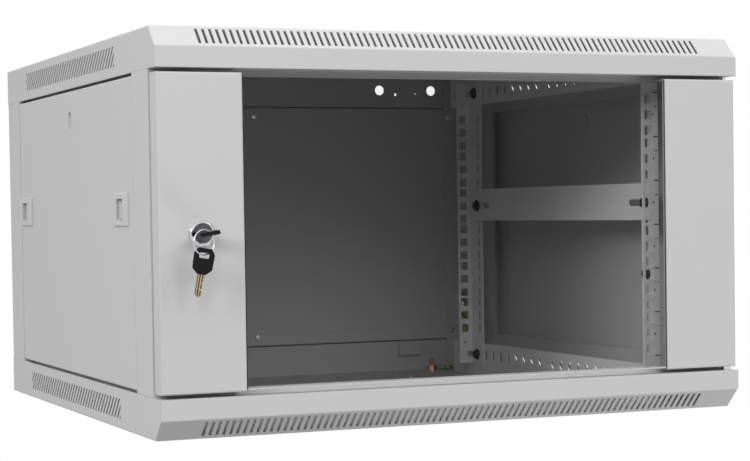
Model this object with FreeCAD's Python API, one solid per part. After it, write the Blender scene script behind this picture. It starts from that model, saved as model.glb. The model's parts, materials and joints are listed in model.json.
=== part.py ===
import FreeCAD, Part
import math
import os

os.makedirs("parts", exist_ok=True)

Vec = FreeCAD.Vector
alongX = Vec(1, 0, 0)
alongY = Vec(0, 1, 0)
alongZ = Vec(0, 0, 1)

# The cabinet stands on its base at Z 0, with its front towards -Y.
# The origin is the middle of the base under the covers.
width = 600.0
depth = 600.0
height = 370.0
sheet = 1.2
bendRadius = 1.6

# Covers
coverDrop = 38.2
chamfer = 19.0
fasciaReturn = 22.0
lipDrop = 6.0
lipEndGap = 1.0
rearFlangeDrop = 56.0
rearFlangeInset = 20.0
frontSlotMargin = 43.25
frontSlotPitch = 6.5
frontSlotWidth = 2.7
frontSlotLength = 19.5
sideVentCentreY = 19.0
sideVentLength = 370.0
sideVentHeight = 19.0
sideVentDrop = 19.0
sideSlotPitch = 10.14
sideSlotWidth = 3.0
wallHoleRadius = 6.0
wallHoleOuterX = 237.5
wallHoleInnerX = 167.0
wallHoleDrop = 16.4
hookWidth = 30.0
hookHeight = 16.0
hookDrop = 28.0
hookLean = 5.0
hookSideGap = 1.0
entryWidth = 300.0
entryDepth = 60.0
entryRearGap = 50.0
entryOverlap = 12.0
entryCorner = 6.0

# Corner posts
postFrontGap = 22.0
postFrontWidth = 53.0
postRearWidth = 56.4
postFrontFace = 28.0
postRearFace = 46.0
postLip = 12.0
postStep = 13.0
postLanding = 20.0
postEndGap = 5.0
camNotchHeight = 80.0
seamGap = 0.05

# Side panels and their slide latches
panelSideGap = 1.0
panelHeightGap = 2.6
panelDepth = 12.6
panelLip = 7.0
dimpleWidth = 14.0
dimpleHeight = 24.0
dimpleDepth = 2.0
dimpleDrop = 32.0
latchZ = 207.3
latchWidth = 50.0
latchHeight = 31.0
latchFlange = 1.5
latchFlangeLap = 2.2
latchBodyDepth = 10.0
latchWall = 1.5
fingerWidth = 20.0
fingerHeight = 19.5
latchInsetFront = 41.0
latchInsetRear = 30.0
fingerOffsetFront = 3.0
fingerOffsetRear = 8.0
boltHeight = 12.0
boltThickness = 2.6
boltOutset = 6.2
boltTravel = 8.0
boltClearance = 0.3
leverThickness = 5.0
leverHeight = 17.0
leverRoom = 3.5

# Door
doorGapLeft = 1.0
doorGapRight = 2.5
doorEndGap = 3.8
doorThickness = 20.0
lockStripWidth = 80.0
hingeStripWidth = 79.5
stripLip = 12.0
glassThickness = 5.0
glassEndGap = 0.3
glassLap = 17.0
retainerSheet = 1.2
retainerFoot = 10.0

# Door hinge
hingeInset = 5.5
hingePinRadius = 2.5
runningClearance = 0.05
hingeCollarRadius = 5.0
hingeRestGap = 0.3
lowerPinDepth = 5.0
lowerPinRise = 10.0
boltRise = 5.0
boltLength = 48.0
boltTravelDown = 8.0
guideDrop = 28.0
guideSheet = 1.5
boltHandleReach = 14.0
boltHandleRadius = 1.6

# Lock, keys and key ring
lockInset = 39.7
bezelRadius = 11.8
bezelHeight = 3.0
bezelBevel = 1.3
barrelRadius = 8.0
rotorRadius = 6.8
rotorProud = 0.8
lockNutAcross = 20.0
lockNutHeight = 4.0
camGap = 0.8
camThickness = 2.0
camReach = 33.0
camWidth = 13.0
tailSquare = 7.0
camScrewRadius = 4.5
camScrewHeight = 2.5
keyTilt = 8.0
keyBladeWidth = 6.4
keyBladeThickness = 1.8
keyBladeLength = 20.5
keySlotClearance = 0.15
bladeTip = 2.5
bladeShoulder = 3.0
bladeCuts = (0.9, 2.2, 1.3, 2.0, 1.0)
grooveDepth = 0.4
grooveInner = 0.4
grooveOuter = 1.6
bowLength = 23.2
bowWidth = 18.5
bowThickness = 3.4
bowHoleHeight = 16.7
bowHoleLength = 8.6
bowHoleWidth = 4.8
bowHoleCorner = 1.0
bowStandoff = 3.5
ringRadius = 11.1
ringWire = 0.7
ringTurn = 20.0
ringRise = 6.8
spareTurn = -18.0
spareTilt = 10.0
spareRest = 1.35

# 19-inch rails
rackUnit = 44.45
rackUnits = 6
holeOffsets = (6.35, 22.225, 38.1)
holeColumn = 232.5
holeSide = 9.5
railOpening = 225.0
railCorner = 243.5
railSheet = 1.5
railDepth = 32.0
railEndGap = 15.5
frontRailPlane = -243.7
rearRailPlane = 197.4
sideHoleWidth = 7.0
sideHoleInset = 10.0
pilotRadius = 1.6
pilotOffset = 144.0
endScrewDrop = 26.6
hookSlotHeight = 6.6
hookSlotStart = 236.0
hookSlotReach = 20.5

# Depth rails
depthRailHeight = 39.3
depthRailFoot = 20.0
depthRailMiddle = 7.0
depthRailLength = 490.0
depthSlotPitch = 20.0
depthSlotGap = 30.8
depthSlotWidth = 7.0
depthSlotHeight = 10.0

# Cross struts
strutHeight = 38.0
strutRise = 1.0
strutEndGap = 2.0
strutFlange = 9.0
strutSlotLength = 40.0
strutSlotHeight = 7.0
strutSlotShift = 6.0
strutUnit = 3

# Screws
railScrewRadius = 3.0
flangeHeadRadius = 7.0
flangeHeadHeight = 1.2
panHeadRadius = 5.2
panHeadHeight = 3.2
panHeadBevel = 1.1
driveRadius = 1.9
driveDepth = 1.6
railNutSide = 10.0
railNutHeight = 5.0
spareScrewUnit = 1
smallScrewRadius = 2.0
smallHeadRadius = 4.0
smallHeadHeight = 2.2
smallScrewLength = 8.0
backScrewInset = 40.0
backScrewDrop = 50.0

# Earth point and lead
earthInsetX = 77.0
earthInsetY = 25.0
earthStudRadius = 3.0
earthStudHeight = 15.0
earthNutAcross = 10.0
earthNutHeight = 5.0
terminalThickness = 1.0
terminalRadius = 7.0
terminalBarrel = 3.1
terminalBarrelLength = 10.0
terminalOverlap = 0.6
postStudInset = 24.0
postStudZ = 92.0
leadRadius = 2.5
leadSteps = ((19.3, 0, 0), (35.3, 3.4, 10.2), (42.6, 9.1, 27.1))
leadLastRun = 16.5

# Places worked out from the sizes above
halfWidth = width / 2
yFront = -depth / 2
yRear = depth / 2
middleZ = height / 2
coverEdge = height - coverDrop
postFront = yFront + postFrontGap
postFrontEnd = postFront + postFrontWidth
postRearOuter = yRear - 2 * sheet
postRearStart = postRearOuter - postRearWidth
panelY0 = postFrontEnd + panelSideGap
panelY1 = postRearStart - panelSideGap
panelZ0 = coverDrop + panelHeightGap
panelZ1 = coverEdge - panelHeightGap
doorX0 = -halfWidth + doorGapLeft
doorX1 = halfWidth - doorGapRight
doorZ0 = coverDrop + doorEndGap
doorZ1 = coverEdge - doorEndGap
doorBack = yFront + doorThickness
lockStripEdge = doorX0 + lockStripWidth
hingeStripEdge = doorX1 - hingeStripWidth
glassFront = yFront + sheet
glassBack = glassFront + glassThickness
glassX0 = lockStripEdge - glassLap
glassX1 = hingeStripEdge + glassLap
hingeX = doorX1 - hingeInset
hingeY = yFront + doorThickness / 2
lockX = doorX0 + lockInset
lockZ = middleZ
camFront = postFront + sheet + camGap
unitBase = middleZ - rackUnits * rackUnit / 2
depthRailX = railCorner
boltOuterX = halfWidth - boltOutset
railLength = height - 2 * railEndGap
endScrewOffset = middleZ - endScrewDrop
backScrewX = halfWidth - backScrewInset
backScrewOffset = middleZ - backScrewDrop
earthX = halfWidth - earthInsetX
earthY = yRear - earthInsetY
postStudX = halfWidth - postStudInset
terminalNeck = terminalRadius - terminalOverlap
terminalReach = terminalNeck + terminalBarrelLength


def box(x0, x1, y0, y1, z0, z1):
    return Part.makeBox(x1 - x0, y1 - y0, z1 - z0, Vec(x0, y0, z0))


def rod(start, axis, radius, length):
    return Part.makeCylinder(radius, length, start, axis)


def prism(points, travel):
    wire = Part.makePolygon(points + [points[0]])
    return Part.Face(wire).extrude(travel)


def foldedSheet(points, thickness, axis, length):
    # A strip of sheet bent along the given line, seen along its axis. The sheet
    # lies to the left of the line, and each bend is mitred.
    count = len(points)
    headings = []
    for i in range(count - 1):
        heading = points[i + 1] - points[i]
        heading.normalize()
        headings.append(axis.cross(heading))
    inner = []
    for i in range(count):
        before = headings[max(i - 1, 0)]
        after = headings[min(i, count - 2)]
        shift = (before + after) * (thickness / (1 + before.dot(after)))
        inner.append(points[i] + shift)
    return prism(points + inner[::-1], axis * length)


def roundEdges(shape, radius, keep):
    edges = [edge for edge in shape.Edges if keep(edge)]
    return shape.makeFillet(radius, edges)


def bevelRim(shape, size, centre):
    # Bevels the round edge about a point.
    edges = [edge for edge in shape.Edges if edge.CenterOfMass.distanceToPoint(centre) < 0.01]
    return shape.makeChamfer(size, edges)


def runsAlong(edge, axis):
    if not isinstance(edge.Curve, Part.Line):
        return False
    return abs(abs(edge.tangentAt(edge.FirstParameter).dot(axis)) - 1) < 1e-6


def mirrorX(shape):
    return shape.mirror(Vec(0, 0, 0), alongX)


def turnedOver(shape):
    # The bottom cover and what it carries are the top ones turned about the depth axis.
    copy = shape.copy()
    copy.rotate(Vec(0, 0, middleZ), alongY, 180)
    return copy


def hexNut(centre, axis, across, length, bore):
    blank = rod(centre, axis, across / math.sqrt(3), length)
    for i in range(6):
        angle = 60 * i
        flat = Part.makeBox(across, 2 * across, 3 * length, Vec(across / 2, -across, -length))
        flat.rotate(Vec(0, 0, 0), alongZ, angle)
        flat.Placement = FreeCAD.Placement(centre, FreeCAD.Rotation(alongZ, axis)).multiply(flat.Placement)
        blank = blank.cut(flat)
    return blank.cut(rod(centre - axis * length, axis, bore, 3 * length))


def obround(centre, long, across, travel, length, widthAcross):
    # A slot with round ends, centred on a point and cut along travel.
    half = (length - widthAcross) / 2
    radius = widthAcross / 2
    start = centre - travel / 2
    a = start - long * half - across * radius
    b = start + long * half - across * radius
    c = start + long * half + across * radius
    d = start - long * half + across * radius
    right = start + long * (half + radius)
    left = start - long * (half + radius)
    edges = [
        Part.LineSegment(a, b).toShape(),
        Part.Arc(b, right, c).toShape(),
        Part.LineSegment(c, d).toShape(),
        Part.Arc(d, left, a).toShape(),
    ]
    return Part.Face(Part.Wire(edges)).extrude(travel)


def flangeScrew(seat, axis, shank, length):
    # Seat is the centre under the flange, and axis points out of the head.
    flange = rod(seat, axis, flangeHeadRadius, flangeHeadHeight)
    head = rod(seat, axis, panHeadRadius, flangeHeadHeight + panHeadHeight)
    top = seat + axis * (flangeHeadHeight + panHeadHeight)
    head = bevelRim(head, panHeadBevel, top)
    drive = rod(top - axis * driveDepth, axis, driveRadius, 2 * driveDepth)
    shaft = rod(seat - axis * length, axis, shank, length)
    return flange.fuse(head).fuse(shaft).cut(drive).removeSplitter()


def panScrew(seat, axis, length):
    head = rod(seat, axis, smallHeadRadius, smallHeadHeight)
    top = seat + axis * smallHeadHeight
    head = bevelRim(head, smallHeadHeight * 0.5, top)
    return head.fuse(rod(seat - axis * length, axis, smallScrewRadius, length)).removeSplitter()


# Covers

def coverShell():
    def sideProfile(lowest):
        return [
            Vec(-halfWidth, yRear, lowest),
            Vec(-halfWidth, yRear, height),
            Vec(-halfWidth, yFront + chamfer, height),
            Vec(-halfWidth, yFront, height - chamfer),
            Vec(-halfWidth, yFront, lowest),
        ]

    outer = prism(sideProfile(coverEdge), alongX * width)
    outer = roundEdges(outer, bendRadius, lambda edge: edge.BoundBox.ZMin > coverEdge + 1)
    below = coverEdge - coverDrop
    outline = sideProfile(below)
    inside = Part.makePolygon(outline + [outline[0]]).makeOffset2D(-sheet)
    hollow = Part.Face(inside).extrude(alongX * (width - 2 * sheet))
    hollow.translate(alongX * sheet)
    return outer.cut(hollow)


def frontSlots():
    slots = []
    count = round((width - 2 * frontSlotMargin) / frontSlotPitch) + 1
    middle = Vec(0, yFront + chamfer / 2, height - chamfer / 2)
    for i in range(count):
        slot = Part.makeBox(frontSlotWidth, frontSlotLength, 4 * sheet,
                            Vec(-frontSlotWidth / 2, -frontSlotLength / 2, -2 * sheet))
        slot.rotate(Vec(0, 0, 0), alongX, 45)
        slot.translate(middle + alongX * (frontSlotPitch * (i - (count - 1) / 2)))
        slots.append(slot)
    return slots


def sideSlots(side):
    # On the left flange the slots lean towards the front as they rise. The sheet is
    # punched flat, so on the right flange they lean towards the rear.
    slots = []
    centreZ = height - sideVentDrop
    window = box(side * halfWidth - 3 * sheet, side * halfWidth + 3 * sheet,
                 sideVentCentreY - sideVentLength / 2, sideVentCentreY + sideVentLength / 2,
                 centreZ - sideVentHeight / 2, centreZ + sideVentHeight / 2)
    reach = sideVentLength / 2 + sideVentHeight / 2
    steps = int(reach / sideSlotPitch)
    halfRun = sideVentHeight / 2 + sheet
    halfAcross = sideSlotWidth * math.sqrt(2) / 2
    for i in range(-steps, steps + 1):
        y = sideVentCentreY + i * sideSlotPitch
        lean = side * halfRun
        outline = [
            Vec(side * halfWidth - 2 * sheet, y - lean - halfAcross, centreZ - halfRun),
            Vec(side * halfWidth - 2 * sheet, y - lean + halfAcross, centreZ - halfRun),
            Vec(side * halfWidth - 2 * sheet, y + lean + halfAcross, centreZ + halfRun),
            Vec(side * halfWidth - 2 * sheet, y + lean - halfAcross, centreZ + halfRun),
        ]
        slot = prism(outline, alongX * (4 * sheet)).common(window)
        if slot.Volume > sideSlotWidth * sideSlotWidth * sheet:
            slots.append(slot)
    return slots


def entryScrewPlaces():
    places = []
    for side in (-1, 1):
        for end in (0, 1):
            x = side * (entryWidth / 2 + entryOverlap / 2)
            y = yRear - entryRearGap - entryDepth * end
            places.append(Vec(x, y, height - sheet))
    return places


def wallHook(side):
    # A tongue lanced out of the rear flange, leaning inwards as it rises.
    low = height - hookDrop - hookHeight / 2
    high = low + hookHeight - hookSideGap
    centre = side * (wallHoleOuterX + wallHoleInnerX) / 2
    left = centre - hookWidth / 2 + hookSideGap
    outline = [
        Vec(left, yRear, low),
        Vec(left, yRear - sheet, low),
        Vec(left, yRear - sheet - hookLean, high),
        Vec(left, yRear - hookLean, high),
    ]
    return prism(outline, alongX * (hookWidth - 2 * hookSideGap))


def topCover():
    cover = coverShell()
    returnLip = box(-halfWidth + sheet, halfWidth - sheet, yFront + sheet, yFront + fasciaReturn,
                    coverEdge, coverEdge + sheet)
    lipEnd = halfWidth - postFrontFace - lipEndGap
    turnedLip = box(-lipEnd, lipEnd, yFront + fasciaReturn, yFront + fasciaReturn + sheet,
                    coverEdge - lipDrop, coverEdge + sheet)
    rearFlange = box(-halfWidth + rearFlangeInset, halfWidth - rearFlangeInset,
                     yRear - sheet, yRear, height - rearFlangeDrop, coverEdge)
    cover = cover.fuse([returnLip, turnedLip, rearFlange])
    cuts = frontSlots() + sideSlots(-1) + sideSlots(1)
    for side in (-1, 1):
        for x in (wallHoleInnerX, wallHoleOuterX):
            start = Vec(side * x, yRear - 2 * sheet, height - wallHoleDrop)
            cuts.append(rod(start, alongY, wallHoleRadius, 3 * sheet))
        hookX = side * (wallHoleOuterX + wallHoleInnerX) / 2
        hookZ = height - hookDrop
        cuts.append(box(hookX - hookWidth / 2, hookX + hookWidth / 2, yRear - 2 * sheet, yRear + sheet,
                        hookZ - hookHeight / 2, hookZ + hookHeight / 2))
        start = Vec(side * hingeX, hingeY, coverEdge - sheet)
        if side > 0:
            cuts.append(rod(start, alongZ, hingePinRadius + runningClearance, 3 * sheet))
        else:
            cuts.append(rod(start, alongZ, hingePinRadius, 3 * sheet))
    entry = box(-entryWidth / 2, entryWidth / 2, yRear - entryRearGap - entryDepth, yRear - entryRearGap,
                height - 2 * sheet, height + sheet)
    cuts.append(roundEdges(entry, entryCorner, lambda edge: runsAlong(edge, alongZ)))
    for place in entryScrewPlaces():
        cuts.append(rod(place - alongZ * sheet, alongZ, smallScrewRadius, 3 * sheet))
    cuts.append(rod(Vec(0, yRear - 2 * sheet, middleZ + backScrewOffset), alongY, smallScrewRadius, 3 * sheet))
    cover = cover.cut(cuts)
    return cover.fuse([wallHook(-1), wallHook(1)]).removeSplitter()


def entryPlate():
    plate = box(-entryWidth / 2 - entryOverlap, entryWidth / 2 + entryOverlap,
                yRear - entryRearGap - entryDepth - entryOverlap, yRear - entryRearGap + entryOverlap,
                height - 2 * sheet, height - sheet)
    plate = roundEdges(plate, entryCorner, lambda edge: runsAlong(edge, alongZ))
    for place in entryScrewPlaces():
        plate = plate.cut(rod(place - alongZ * (2 * sheet), alongZ, smallScrewRadius, 3 * sheet))
    return plate


def entryScrews():
    screws = []
    for place in entryScrewPlaces():
        screws.append(panScrew(place - alongZ * sheet, -alongZ, 2 * sheet))
    return Part.makeCompound(screws)


# Corner posts, drawn on the left

def boltWindow(y0, y1):
    # Room for a latch bolt that passes through a wall across the depth.
    return box(-boltOuterX - boltClearance, -boltOuterX + boltThickness + boltClearance, y0, y1,
               latchZ - boltHeight / 2 - boltClearance, latchZ + boltHeight / 2 + boltClearance)


def trimmedPost(post, y0, y1):
    # The outer wall stops at the covers, which are flush with it.
    for z0, z1 in ((0, coverDrop + seamGap), (coverEdge - seamGap, height)):
        post = post.cut(box(-halfWidth - 1, -halfWidth + sheet + seamGap, y0, y1, z0, z1))
    return post


def frontPost():
    x0 = -halfWidth
    line = [
        Vec(x0 + postStep, postFrontEnd + postLanding, postEndGap),
        Vec(x0 + postStep, postFrontEnd, postEndGap),
        Vec(x0, postFrontEnd, postEndGap),
        Vec(x0, postFront, postEndGap),
        Vec(x0 + postFrontFace, postFront, postEndGap),
        Vec(x0 + postFrontFace, postFront + postLip, postEndGap),
    ]
    post = foldedSheet(line, sheet, alongZ, height - 2 * postEndGap)
    notch = box(x0 + postFrontFace - 2 * sheet, x0 + postFrontFace + sheet,
                postFront + sheet, postFront + postLip + 1,
                middleZ - camNotchHeight / 2, middleZ + camNotchHeight / 2)
    post = post.cut(notch)
    post = trimmedPost(post, postFront - 1, postFrontEnd + 1)
    return post.cut(boltWindow(postFrontEnd - 2 * sheet, postFrontEnd + sheet))


def rearPost():
    x0 = -halfWidth
    line = [
        Vec(x0 + postRearFace, postRearOuter, postEndGap),
        Vec(x0, postRearOuter, postEndGap),
        Vec(x0, postRearStart, postEndGap),
        Vec(x0 + postStep, postRearStart, postEndGap),
        Vec(x0 + postStep, postRearStart - postLanding, postEndGap),
    ]
    post = foldedSheet(line, sheet, alongZ, height - 2 * postEndGap)
    post = trimmedPost(post, postRearStart - 1, postRearOuter + 1)
    for side in (-1, 1):
        post = post.cut(rod(Vec(-backScrewX, postRearOuter - 2 * sheet, middleZ + side * backScrewOffset),
                            alongY, smallScrewRadius, 3 * sheet))
    return post.cut(boltWindow(postRearStart - sheet, postRearStart + 2 * sheet))


# Back panel

def backPanel():
    edge = halfWidth - rearFlangeInset
    panel = box(-edge, edge, postRearOuter, postRearOuter + sheet,
                coverDrop + sheet, coverEdge - sheet)
    for place in backScrewPlaces():
        panel = panel.cut(rod(place - alongY * sheet, alongY, smallScrewRadius, 4 * sheet))
    return panel


def backScrewPlaces():
    places = []
    for side in (-1, 1):
        for x in (-backScrewX, 0, backScrewX):
            places.append(Vec(x, postRearOuter, middleZ + side * backScrewOffset))
    return places


def backScrews():
    screws = []
    for place in backScrewPlaces():
        inset = sheet if abs(place.x) > 1 else 0
        seat = place - alongY * inset
        length = inset + sheet if abs(place.x) > 1 else 2 * sheet
        screws.append(panScrew(seat, -alongY, length))
    return Part.makeCompound(screws)


# Side panels and latches, drawn on the left

def latchPlaces():
    # Each latch: the panel's edge, the way its bolt shoots, the housing's centre and
    # the finger hole's centre.
    front = panelY0 + latchInsetFront
    rear = panelY1 - latchInsetRear
    return (
        (panelY0, -1, front, front + fingerOffsetFront),
        (panelY1, 1, rear, rear + fingerOffsetRear),
    )


def sidePanel():
    x0 = -halfWidth
    panel = box(x0, x0 + panelDepth, panelY0, panelY1, panelZ0, panelZ1)
    panel = roundEdges(panel, bendRadius, lambda edge: edge.BoundBox.XMax < x0 + 1e-3)
    panel = panel.cut(box(x0 + sheet, x0 + panelDepth - sheet, panelY0 + sheet, panelY1 - sheet,
                          panelZ0 + sheet, panelZ1 - sheet))
    panel = panel.cut(box(x0 + sheet, x0 + panelDepth + 1, panelY0 + panelLip, panelY1 - panelLip,
                          panelZ0 + panelLip, panelZ1 - panelLip))
    middleY = (panelY0 + panelY1) / 2
    dimpleCentre = Vec(x0, middleY, panelZ1 - dimpleDrop)
    hump = obround(dimpleCentre + alongX * (sheet + dimpleDepth / 2), alongZ, alongY,
                   alongX * dimpleDepth, dimpleHeight, dimpleWidth)
    dent = obround(dimpleCentre + alongX * (dimpleDepth / 2), alongZ, alongY,
                   alongX * dimpleDepth, dimpleHeight - 2 * sheet, dimpleWidth - 2 * sheet)
    panel = panel.fuse(hump).cut(dent)
    for edge, way, centre, finger in latchPlaces():
        lapY = latchWidth / 2 - latchFlangeLap
        lapZ = latchHeight / 2 - latchFlangeLap
        panel = panel.cut(box(x0 - 1, x0 + 2 * sheet, centre - lapY, centre + lapY, latchZ - lapZ, latchZ + lapZ))
        panel = panel.cut(boltWindow(edge - panelLip, edge + panelLip))
        lipCut = box(x0 + sheet, x0 + panelDepth + 1, min(edge, edge - way * (panelLip + 1)),
                     max(edge, edge - way * (panelLip + 1)), latchZ - boltHeight, latchZ + boltHeight)
        lipCut = lipCut.common(box(x0 + panelDepth - 2 * sheet, x0 + panelDepth + 1,
                                   edge - 2 * panelLip, edge + 2 * panelLip, 0, height))
        panel = panel.cut(lipCut)
    return panel.removeSplitter()


def latchHousing(edge, way, centre, finger):
    x0 = -halfWidth
    lapY = latchWidth / 2 - latchFlangeLap - boltClearance
    lapZ = latchHeight / 2 - latchFlangeLap - boltClearance
    flange = box(x0 - latchFlange, x0, centre - latchWidth / 2, centre + latchWidth / 2,
                 latchZ - latchHeight / 2, latchZ + latchHeight / 2)
    flange = roundEdges(flange, latchFlange * 0.6, lambda line: line.BoundBox.XMax < x0 - latchFlange + 1e-3)
    body = box(x0, x0 + latchBodyDepth, centre - lapY, centre + lapY, latchZ - lapZ, latchZ + lapZ)
    pocket = box(x0 - latchFlange - 1, -boltOuterX + boltThickness / 2, finger - fingerWidth / 2,
                 finger + fingerWidth / 2, latchZ - fingerHeight / 2, latchZ + fingerHeight / 2)
    channelEnd = finger - way * (fingerWidth / 2 + latchWall)
    channelY = sorted((channelEnd, centre + way * latchWidth))
    channel = boltWindow(channelY[0], channelY[1])
    return flange.fuse(body).cut(pocket).cut(channel).removeSplitter()


def latchSlider(edge, way, centre, finger):
    tail = finger - way * (fingerWidth / 2 - leverRoom + leverThickness)
    nose = edge - way * sheet / 2
    barY = sorted((tail, nose))
    bar = box(-boltOuterX, -boltOuterX + boltThickness, barY[0], barY[1],
              latchZ - boltHeight / 2, latchZ + boltHeight / 2)
    leverY = finger - way * (fingerWidth / 2 - leverRoom)
    leverSpan = sorted((leverY, leverY + way * leverThickness))
    lever = box(-halfWidth, -boltOuterX + boltThickness / 2, leverSpan[0], leverSpan[1],
                latchZ - leverHeight / 2, latchZ + leverHeight / 2)
    lever = roundEdges(lever, leverThickness * 0.4,
                       lambda line: runsAlong(line, alongZ) and line.BoundBox.XMax < -halfWidth + 1e-3)
    return bar.fuse(lever).removeSplitter()


# Door

def doorStrip(x0, x1, openSide):
    strip = box(x0, x1, yFront, doorBack, doorZ0, doorZ1)
    strip = roundEdges(strip, bendRadius, lambda edge: edge.BoundBox.YMax < yFront + 1e-3)
    hollowX0 = x0 - 1 if openSide < 0 else x0 + sheet
    hollowX1 = x1 + 1 if openSide > 0 else x1 - sheet
    strip = strip.cut(box(hollowX0, hollowX1, yFront + sheet, doorBack + 1, doorZ0 + sheet, doorZ1 - sheet))
    if openSide > 0:
        lip = box(x0, x0 + stripLip, doorBack - sheet, doorBack, doorZ0, doorZ1)
    else:
        lip = box(x1 - stripLip, x1, doorBack - sheet, doorBack, doorZ0, doorZ1)
    return strip.fuse(lip).removeSplitter()


def lockStrip():
    strip = doorStrip(doorX0, lockStripEdge, 1)
    hole = rod(Vec(lockX, yFront - sheet, lockZ), alongY, barrelRadius, 3 * sheet)
    return strip.cut(hole)


def hingeStrip():
    strip = doorStrip(hingeStripEdge, doorX1, -1)
    for z in (doorZ0, doorZ1):
        start = Vec(hingeX, hingeY, z - 2 * sheet)
        strip = strip.cut(rod(start, alongZ, hingePinRadius + runningClearance, 4 * sheet))
    return strip


def doorGlass():
    return box(glassX0, glassX1, glassFront, glassBack, doorZ0 + sheet + glassEndGap,
               doorZ1 - sheet - glassEndGap)


def glassRetainer(side):
    edge = glassX0 if side < 0 else glassX1
    inner = edge - side * (glassLap - retainerSheet)
    step = edge + side * glassEndGap
    foot = step + side * retainerFoot
    z0 = doorZ0 + sheet + glassEndGap
    line = [
        Vec(inner, glassBack, z0),
        Vec(step, glassBack, z0),
        Vec(step, glassFront, z0),
        Vec(foot, glassFront, z0),
    ]
    if side > 0:
        return foldedSheet(line, retainerSheet, alongZ, doorZ1 - doorZ0 - 2 * (sheet + glassEndGap))
    flipped = [Vec(-point.x, point.y, point.z) for point in line]
    return mirrorX(foldedSheet(flipped, retainerSheet, alongZ, doorZ1 - doorZ0 - 2 * (sheet + glassEndGap)))


# Door hinge

def lowerHingePin():
    base = Vec(hingeX, hingeY, coverDrop - lowerPinDepth)
    pin = rod(base, alongZ, hingePinRadius, lowerPinDepth + doorEndGap + lowerPinRise)
    collar = rod(Vec(hingeX, hingeY, coverDrop), alongZ, hingeCollarRadius, doorEndGap - hingeRestGap)
    return pin.fuse(collar).removeSplitter()


def upperHingeBolt():
    top = coverEdge + sheet + boltRise
    pin = rod(Vec(hingeX, hingeY, top - boltLength), alongZ, hingePinRadius, boltLength)
    tip = Vec(hingeX, hingeY, top)
    pin = bevelRim(pin, hingePinRadius * 0.3, tip)
    handleStart = Vec(hingeX, hingeY, top - boltLength + 2 * boltHandleRadius)
    handle = rod(handleStart, -alongX, boltHandleRadius, boltHandleReach)
    return pin.fuse(handle).removeSplitter()


def hingeGuide():
    z0 = doorZ1 - sheet - guideDrop
    x0 = hingeX - 3 * hingePinRadius
    x1 = doorX1 - sheet
    line = [
        Vec(x0, doorBack - 2 * sheet, z0),
        Vec(x0, yFront + sheet, z0),
        Vec(x0, yFront + sheet, z0 - 3 * hingePinRadius),
    ]
    guide = foldedSheet(line, guideSheet, alongX, x1 - x0)
    hole = rod(Vec(hingeX, hingeY, z0 - 2 * guideSheet), alongZ,
               hingePinRadius + runningClearance, 4 * guideSheet)
    return guide.cut(hole)


# Lock and keys, built about the lock's axis

def lockBody():
    bezel = rod(Vec(lockX, yFront, lockZ), -alongY, bezelRadius, bezelHeight)
    rim = Vec(lockX, yFront - bezelHeight, lockZ)
    bezel = bevelRim(bezel, bezelBevel, rim)
    barrel = rod(Vec(lockX, yFront, lockZ), alongY, barrelRadius, camFront - camGap / 2 - yFront)
    body = bezel.fuse(barrel)
    bore = rod(Vec(lockX, yFront - 2 * bezelHeight, lockZ), alongY, rotorRadius + runningClearance,
               depth / 2)
    return body.cut(bore).removeSplitter()


def lockNut():
    return hexNut(Vec(lockX, yFront + sheet, lockZ), alongY, lockNutAcross, lockNutHeight, barrelRadius)


def lockCylinder():
    front = yFront - bezelHeight - rotorProud
    rotor = rod(Vec(lockX, front, lockZ), alongY, rotorRadius, camFront - front)
    tail = box(lockX - tailSquare / 2, lockX + tailSquare / 2, camFront, camFront + camThickness,
               lockZ - tailSquare / 2, lockZ + tailSquare / 2)
    slotWide = keyBladeWidth / 2 + keySlotClearance
    slotHigh = keyBladeThickness / 2 + keySlotClearance
    slot = box(lockX - slotWide, lockX + slotWide, front - 1, front + keyBladeLength + 1,
               lockZ - slotHigh, lockZ + slotHigh)
    slot.rotate(Vec(lockX, 0, lockZ), alongY, -keyTilt)
    return rotor.fuse(tail).cut(slot).removeSplitter()


def lockCam():
    # At rest the cam hangs down, clear of the post.
    plate = box(lockX - camWidth / 2, lockX + camWidth / 2, camFront, camFront + camThickness,
                lockZ - camReach, lockZ + camWidth / 2)
    plate = roundEdges(plate, camWidth * 0.3, lambda edge: runsAlong(edge, alongY))
    half = tailSquare / 2
    return plate.cut(box(lockX - half, lockX + half, camFront - 1, camFront + 2 * camThickness,
                         lockZ - half, lockZ + half))


def camScrew():
    head = rod(Vec(lockX, camFront + camThickness, lockZ), alongY, camScrewRadius, camScrewHeight)
    top = Vec(lockX, camFront + camThickness + camScrewHeight, lockZ)
    return bevelRim(head, camScrewHeight * 0.4, top)


def keyBow():
    # The bow stands on its shoulder at height 0, flat across X and Z, with its thickness along Y.
    half = bowWidth / 2
    top = bowLength
    outline = [
        Vec(-0.4 * half, 0, 0), Vec(0.4 * half, 0, 0), Vec(0.95 * half, 0, 0.2 * top),
        Vec(half, 0, 0.78 * top), Vec(0.66 * half, 0, top), Vec(-0.66 * half, 0, top),
        Vec(-half, 0, 0.78 * top), Vec(-0.95 * half, 0, 0.2 * top),
    ]
    bow = prism(outline, alongY * bowThickness)
    bow.translate(alongY * (-bowThickness / 2))
    bow = roundEdges(bow, 1.5, lambda edge: runsAlong(edge, alongY))
    hole = box(-bowHoleLength / 2, bowHoleLength / 2, -bowThickness, bowThickness,
               bowHoleHeight - bowHoleWidth / 2, bowHoleHeight + bowHoleWidth / 2)
    return bow.cut(roundEdges(hole, bowHoleCorner, lambda edge: runsAlong(edge, alongY)))


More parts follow.
